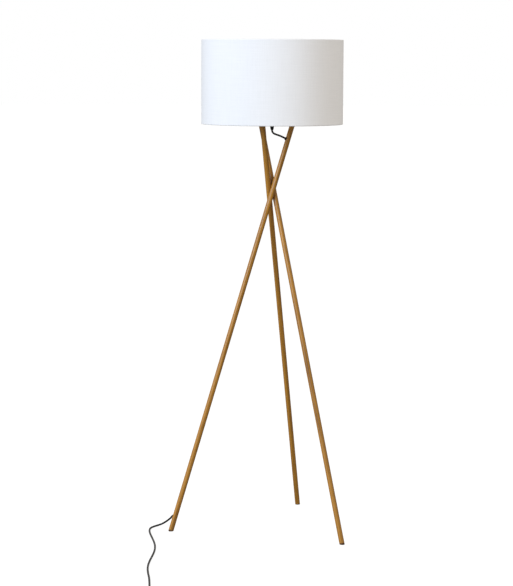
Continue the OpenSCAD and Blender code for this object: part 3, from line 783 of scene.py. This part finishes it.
def strap_piece():
    """A woven strap round the coil's turns, with its free end lapped over."""
    low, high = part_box("coil_tie")
    inset = Vector((0.0016, 0, 0.0016))
    lap_size = (0.009, high.y - low.y - 0.001, 0.0008)
    bm = bmesh.new()
    bmesh.ops.create_cube(bm, size=1)
    bmesh.ops.scale(bm, vec=high - low - inset, verts=bm.verts)
    ends = [f for f in bm.faces if abs(f.normal.y) > 0.9]
    bmesh.ops.delete(bm, geom=ends, context="FACES")
    corners = [e for e in bm.edges if abs((e.verts[0].co - e.verts[1].co).y) > 1e-4]
    round_edges(bm, corners, 0.003, 4)
    lap = bmesh.ops.create_cube(bm, size=1)["verts"]
    bmesh.ops.scale(bm, vec=lap_size, verts=lap)
    bmesh.ops.translate(bm, vec=(0.001, 0, (high.z - low.z) / 2 - 0.0002), verts=lap)
    bmesh.ops.translate(bm, vec=(low + high) / 2, verts=bm.verts)
    piece = mesh_piece("coil_strap", bm, "strap", "tie_black", "coil_tie")
    wall = piece.modifiers.new("wall", "SOLIDIFY")
    wall.thickness = 0.0007
    wall.offset = 0
    sharpen(piece)
    return piece


def plug_piece():
    """A flat two-pin plug: waisted grip, rounded edges and a ribbed boot on the lead."""
    low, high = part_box("plug_body")
    half_w, half_h = (high.y - low.y) / 2, (high.z - low.z) / 2
    front = PLUG_CENTRE.x - low.x
    # Share of the way from the lead to the pins, with the shares of half width and half height
    stations = [
        (0.0, 0.3, 0.72), (0.08, 0.42, 0.86), (0.3, 0.6, 0.96), (0.5, 0.68, 0.98), (0.7, 0.84, 1.0),
        (0.86, 0.98, 1.0), (1.0, 0.98, 1.0),
    ]
    bm = bmesh.new()
    bmesh.ops.create_grid(bm, x_segments=1, y_segments=1, size=1)
    upright = Matrix.Rotation(math.pi / 2, 3, "Y")
    bmesh.ops.rotate(bm, cent=(0, 0, 0), matrix=upright, verts=bm.verts)
    verts, faces = list(bm.verts), list(bm.faces)
    for place, (share, wide, tall) in enumerate(stations):
        if place:
            grown = bmesh.ops.extrude_face_region(bm, geom=faces)["geom"]
            verts = [g for g in grown if isinstance(g, bmesh.types.BMVert)]
            faces = [g for g in grown if isinstance(g, bmesh.types.BMFace)]
        for v in verts:
            y = math.copysign(half_w * wide, v.co.y)
            v.co = (-front * share, y, math.copysign(half_h * tall, v.co.z))
    bmesh.ops.recalc_face_normals(bm, faces=bm.faces)
    grip_edges = [e for e in bm.edges if e.is_manifold and e.calc_face_angle() > math.radians(40)]
    round_edges(bm, grip_edges, 0.0022, 4)
    boot_l = high.x - PLUG_CENTRE.x
    bore, root, tip = sizes().lead_d / 2 + 0.0001, 0.0058, 0.0042
    outline = [(bore, 0), (root, 0), *ribs(boot_l, 0.1, 0.95, root, 0.0014)]
    outline += [(tip, boot_l), (bore, boot_l), (bore, 0)]
    join(bm, lathe(bmesh.new(), outline, 24, Matrix.Rotation(math.pi / 2, 4, "Y")))
    bmesh.ops.translate(bm, vec=PLUG_CENTRE, verts=bm.verts)
    piece = mesh_piece("plug_moulding", bm, "switch", "plug_black", "plug_body")
    sharpen(piece, 50)
    return piece


class LAMP_OT_switch_button(bpy.types.Operator):
    """Makes the foot switch's domed button"""

    bl_idname = "lamp.switch_button"
    bl_label = "Foot button"

    def execute(self, context):
        low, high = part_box("switch_button")
        flange = (high.x - low.x) / 2
        stem, flange_low, flange_high = 0.003, 0.0139, 0.0158
        crown, edge = 0.0009, 0.0015
        top = high.z - crown
        outline = [
            (0, low.z), (stem, low.z), (stem, flange_low), (flange, flange_low),
            (flange, flange_high), (BUTTON_RADIUS, flange_high),
        ]
        outline += arc((BUTTON_RADIUS - edge, top - edge), edge, 0, 75, 5)
        # A fine groove round the crown
        outline += [
            (0.011, top + 0.0003), (0.0105, top - 0.0001), (0.0098, top + 0.0002),
            (0.006, top + 0.0007), (0.003, high.z), (0, high.z),
        ]
        bm = lathe(bmesh.new(), outline, 48, Matrix.Translation(SWITCH_CENTRE))
        piece = mesh_piece(
            "foot_button_cap", bm, "button", "button_black", "switch_button", body="button"
        )
        sharpen(piece, 50)
        return {"FINISHED"}


class LAMP_OT_shade(bpy.types.Operator):
    """Makes the shade's cloth, rolled over both rings and lapped at the back"""

    bl_idname = "lamp.shade"
    bl_label = "Shade cloth"

    def execute(self, context):
        t, hem = sizes().cloth_t, sizes().hem_h
        radius = (shade_high.x - shade_low.x) / 2 - t / 2
        low, high = shade_low.z + t / 2, shade_high.z - t / 2
        roll = 0.0022
        flap = radius - 2 * roll
        # Between the rings the cloth pulls in by this much
        wall = radius - 0.0003
        edge, rows = 0.02, 12
        # From the lower hem's edge, round its ring, up the wall and over the upper ring
        outline = [(flap, low + hem), (flap, low + 0.6 * hem)]
        outline += arc((radius - roll, low + roll), roll, 180, 360, 8)
        outline += [(radius - 0.0002, low + 2.2 * roll), (wall, low + 3.2 * roll)]
        climb = (high - low - 2 * edge) / rows
        outline += [(wall, low + edge + climb * i) for i in range(rows + 1)]
        outline += [(wall, high - 3.2 * roll), (radius - 0.0002, high - 2.2 * roll)]
        outline += arc((radius - roll, high - roll), roll, 0, 180, 8)
        outline += [(flap, high - 0.6 * hem), (flap, high - hem)]
        bm = lathe(bmesh.new(), outline, sizes().shade_segments)
        bmesh.ops.recalc_face_normals(bm, faces=bm.faces)
        self.lap(bm, radius)
        self.lay_uv(bm, radius)
        piece = mesh_piece("shade_cloth", bm, "cloth", "shade_cloth", "shade_fabric")
        wall = piece.modifiers.new("cloth", "SOLIDIFY")
        wall.thickness = t
        wall.offset = 0
        return {"FINISHED"}

    def lap(self, bm, radius):
        """Raises the strip at the back where one end of the cloth lies over the other."""
        lap_angle, rise = sizes().lap_w / radius, 0.00025
        for v in bm.verts:
            flat = Vector((v.co.x, v.co.y))
            from_back = abs(math.atan2(v.co.x, v.co.y))
            if from_back < lap_angle and flat.length > radius - 0.001:
                grown = flat.normalized() * (flat.length + rise)
                v.co.x, v.co.y = grown.x, grown.y

    def lay_uv(self, bm, radius):
        """Lays the cloth flat in metres: round the shade in U and up it in V."""
        layer = bm.loops.layers.uv.new("cloth")
        for face in bm.faces:
            centre = face.calc_center_median()
            middle = math.atan2(centre.y, centre.x)
            for loop in face.loops:
                angle = math.atan2(loop.vert.co.y, loop.vert.co.x)
                step = (angle - middle + math.pi) % math.tau - math.pi
                loop[layer].uv = ((middle + step) * radius, loop.vert.co.z)


class LAMP_OT_gland(bpy.types.Operator):
    """Makes the black cable gland with its grip ribs and tapered tail"""

    bl_idname = "lamp.gland"
    bl_label = "Cable gland"

    def execute(self, context):
        low, high = gland_low.z, gland_high.z
        radius = (gland_high.x - gland_low.x) / 2
        bore = sizes().lead_d / 2 + 0.0001
        tip = bore + 0.0012
        taper_top = low + (high - low) * 0.46
        cone = taper_top - low
        outline = [(bore, low + 0.004), (bore, low + 0.0006), (bore + 0.0004, low)]
        outline += arc((tip - 0.0005, low + 0.0005), 0.0005, -90, 0, 3)
        grooves = 3
        for i in range(grooves):
            z = low + 0.0016 + (cone - 0.003) * i / grooves
            wide = tip + (radius - tip) * (z - low) / cone
            outline += [(wide, z), (wide - 0.0003, z + 0.0004), (wide, z + 0.0008)]
        chamfer, thread = 0.0006, 0.0051
        outline += [
            (radius - 0.0004, taper_top - chamfer), (radius, taper_top), (radius, high - chamfer),
            (radius - chamfer, high), (thread, high), (thread, high - 0.004),
        ]
        bm = lathe(bmesh.new(), outline, 48)
        piece = mesh_piece("gland_moulding", bm, "bakelite", "holder_black", "cable_gland")
        sharpen(piece, 40)
        return {"FINISHED"}


class LAMP_OT_globe(bpy.types.Operator):
    """Makes the bulb's opal globe"""

    bl_idname = "lamp.globe"
    bl_label = "Bulb globe"

    def execute(self, context):
        radius = (globe_high.x - globe_low.x) / 2
        neck, collar = 0.0127, 0.0147
        foot = globe_low.z
        shoulder = foot + 0.012
        outline = [(0, globe_high.z)]
        outline += arc((0, globe_high.z - radius), radius, 86, -38, 24)
        end_r, end_z = outline[-1]
        steps = 8
        for i in range(1, steps):
            share = i / steps
            ease = share * share * (3 - 2 * share)
            wide = end_r + (collar - end_r) * (0.45 * share + 0.55 * ease)
            outline.append((wide, end_z + (shoulder - end_z) * share))
        outline += [
            (collar, shoulder), (neck + 0.0006, foot + 0.006), (neck, foot + 0.002), (neck, foot),
        ]
        bm = lathe(bmesh.new(), outline, 64)
        mesh_piece("bulb_globe", bm, "opal", "bulb_glass", "bulb_glass")
        return {"FINISHED"}


class LAMP_OT_feet(bpy.types.Operator):
    """Makes the three rubber feet, cut level at the floor"""

    bl_idname = "lamp.feet"
    bl_label = "Feet"

    def execute(self, context):
        radius, depth, thinnest = LEG_RADIUS - 0.0001, 0.02, 0.002
        tube_end = (thinnest + LEG_RADIUS * math.sin(LEAN) - WAIST_Z) / math.cos(LEAN)
        for index, letter in enumerate("abc"):
            bm = bmesh.new()
            bmesh.ops.create_cone(
                bm, cap_ends=True, segments=40, radius1=radius, radius2=radius, depth=depth
            )
            bmesh.ops.translate(bm, vec=(0, 0, tube_end - depth / 2), verts=bm.verts)
            bmesh.ops.transform(bm, matrix=leg_frame(index), verts=bm.verts)
            cut = bmesh.ops.bisect_plane(
                bm, geom=bm.verts[:] + bm.edges[:] + bm.faces[:], plane_co=(0, 0, 0),
                plane_no=(0, 0, -1), clear_outer=True,
            )
            sole = [g for g in cut["geom_cut"] if isinstance(g, bmesh.types.BMEdge)]
            bmesh.ops.contextual_create(bm, geom=sole)
            bmesh.ops.recalc_face_normals(bm, faces=bm.faces)
            round_edges(bm, rim_edges(bm, 0), sizes().foot_bevel, 3)
            foot = mesh_piece(
                f"rubber_foot_{letter}", bm, "foot", "foot_rubber", f"foot_{letter}"
            )
            sharpen(foot, 40)
        return {"FINISHED"}


class LAMP_OT_finishes(bpy.types.Operator):
    """Gives every part of the frame that shows its real finish"""

    bl_idname = "lamp.finishes"
    bl_label = "Finishes"

    def execute(self, context):
        by_finish = {
            "liner": ["shade_liner"],
            "white_wire": ["shade_top_ring", "shade_bottom_ring", "shade_spider"],
            "bakelite": [
                "shade_ring_lower", "shade_ring_upper", "lampholder_cap", "lampholder_body",
            ],
            "ceramic": ["lampholder_core"],
            "brass": ["lampholder_sleeve", "lampholder_contact"],
            "aluminium": ["bulb_cap"],
            "vitrite": ["bulb_contact"],
            "zinc": [
                "nipple", "nipple_washer", "nipple_nut", "bracket_screws", "bracket_washers",
                "leg_top_plugs", "leg_connectors", "switch_screws",
            ],
            "black_coat": ["top_bracket"],
            "leg_a": ["leg_a_upper", "leg_a_lower"],
            "leg_b": ["leg_b_upper", "leg_b_lower"],
            "leg_c": ["leg_c_upper", "leg_c_lower"],
            "weld": ["waist_welds"],
            "rubber": ["entry_grommet", "exit_grommet"],
            "lead": ["lead_in_holder", "lead_in_leg"],
            "inside": ["switch_block"],
            "nickel": ["plug_pins"],
        }
        for name, nodes in by_finish.items():
            for node in nodes:
                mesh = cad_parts[node].data
                mesh.materials.clear()
                mesh.materials.append(finish(name))
        return {"FINISHED"}


class LAMP_OT_stage(bpy.types.Operator):
    """Lays a plain pale floor and soft studio light"""

    bl_idname = "lamp.stage"
    bl_label = "Studio"

    def execute(self, context):
        bm = bmesh.new()
        bmesh.ops.create_circle(bm, cap_ends=True, radius=60, segments=96)
        mesh = bpy.data.meshes.new("studio_floor")
        bm.to_mesh(mesh)
        bm.free()
        floor = bpy.data.objects.new("studio_floor", mesh)
        context.scene.collection.objects.link(floor)
        mesh.materials.append(self.overlit_paper())
        self.paper_white_world(context.scene)
        self.softbox("window_side", (-3.4, -3.5, 3.0), 3.0, 236, "#e4efff")
        fill = self.softbox("warm_fill", (3.6, -2.1, 1.8), 2.2, 54, "#fff8f1")
        # Light goes through thin cloth and evens it out, so the fill reaches the cloth alone
        cloth_only = bpy.data.collections.new("cloth_only")
        cloth_only.objects.link(bpy.data.objects["shade_cloth"])
        fill.light_linking.receiver_collection = cloth_only
        context.scene.view_settings.view_transform = "Standard"
        return {"FINISHED"}

    def overlit_paper(self):
        """Matt white paper, lit close to pure white with no spill on the lamp."""
        made, tree, shader = new_material(
            "matt_white_paper",
            {"Base Color": rgba(linear("#7c7c7b")), "Roughness": 0.95,
             "Emission Color": (1, 1, 1, 1)},
        )
        rays = add(tree, "ShaderNodeLightPath")
        own_light = add(
            tree, "ShaderNodeMath", {1: 0.9}, {0: rays.outputs["Is Camera Ray"]},
            operation="MULTIPLY",
        )
        tree.links.new(own_light.outputs[0], shader.inputs["Emission Strength"])
        return made

    def paper_white_world(self, scene):
        """A white backdrop that gives the lamp only a dim, warm share of its light."""
        world = bpy.data.worlds.new("studio")
        scene.world = world
        world.use_nodes = True
        tree = world.node_tree
        tree.nodes.clear()
        rays = add(tree, "ShaderNodeLightPath")
        white = add(tree, "ShaderNodeBackground", {"Color": (1, 1, 1, 1), "Strength": 1.0})
        room = add(
            tree, "ShaderNodeBackground", {"Color": rgba(linear("#fffaf3")), "Strength": 0.54}
        )
        seen = add(
            tree, "ShaderNodeMixShader", None,
            {0: rays.outputs["Is Camera Ray"], 1: room.outputs[0], 2: white.outputs[0]},
        )
        add(tree, "ShaderNodeOutputWorld", None, {"Surface": seen.outputs[0]})

    def softbox(self, name, place, size, power, colour):
        """A square soft light that faces the lamp's middle, and its object."""
        light = bpy.data.lights.new(name, "AREA")
        light.size = size
        light.energy = power
        light.color = linear(colour)
        box = bpy.data.objects.new(name, light)
        bpy.context.scene.collection.objects.link(box)
        aim = (Vector((0, 0, 1.2)) - Vector(place)).to_track_quat("-Z", "Y")
        box.matrix_world = Matrix.Translation(place) @ aim.to_matrix().to_4x4()
        return box


PIECES = (
    LAMP_OT_camera, LAMP_OT_leads, LAMP_OT_switch_button, LAMP_OT_shade, LAMP_OT_gland,
    LAMP_OT_globe, LAMP_OT_feet, LAMP_OT_finishes, LAMP_OT_stage,
)


class LAMP_PT_panel(bpy.types.Panel):
    """Lists the lamp's pieces"""

    bl_idname = "LAMP_PT_panel"
    bl_label = "Tripod Floor Lamp"
    bl_space_type = "VIEW_3D"
    bl_region_type = "UI"
    bl_category = "Lamp"

    def draw(self, context):
        for piece in PIECES:
            self.layout.operator(piece.bl_idname)


CLASSES = (LampSizes, LampColours, *PIECES, LAMP_PT_panel)


def register():
    for cls in CLASSES:
        bpy.utils.register_class(cls)
    bpy.types.Scene.lamp_sizes = PointerProperty(type=LampSizes)
    bpy.types.Scene.lamp_colours = PointerProperty(type=LampColours)


def unregister():
    del bpy.types.Scene.lamp_colours
    del bpy.types.Scene.lamp_sizes
    for cls in reversed(CLASSES):
        bpy.utils.unregister_class(cls)


def main():
    register()
    bpy.ops.lamp.camera()
    bpy.ops.lamp.leads()
    bpy.ops.lamp.switch_button()
    bpy.ops.lamp.shade()
    bpy.ops.lamp.gland()
    bpy.ops.lamp.globe()
    bpy.ops.lamp.feet()
    bpy.ops.lamp.finishes()
    bpy.ops.lamp.stage()


if __name__ == "__main__":
    main()
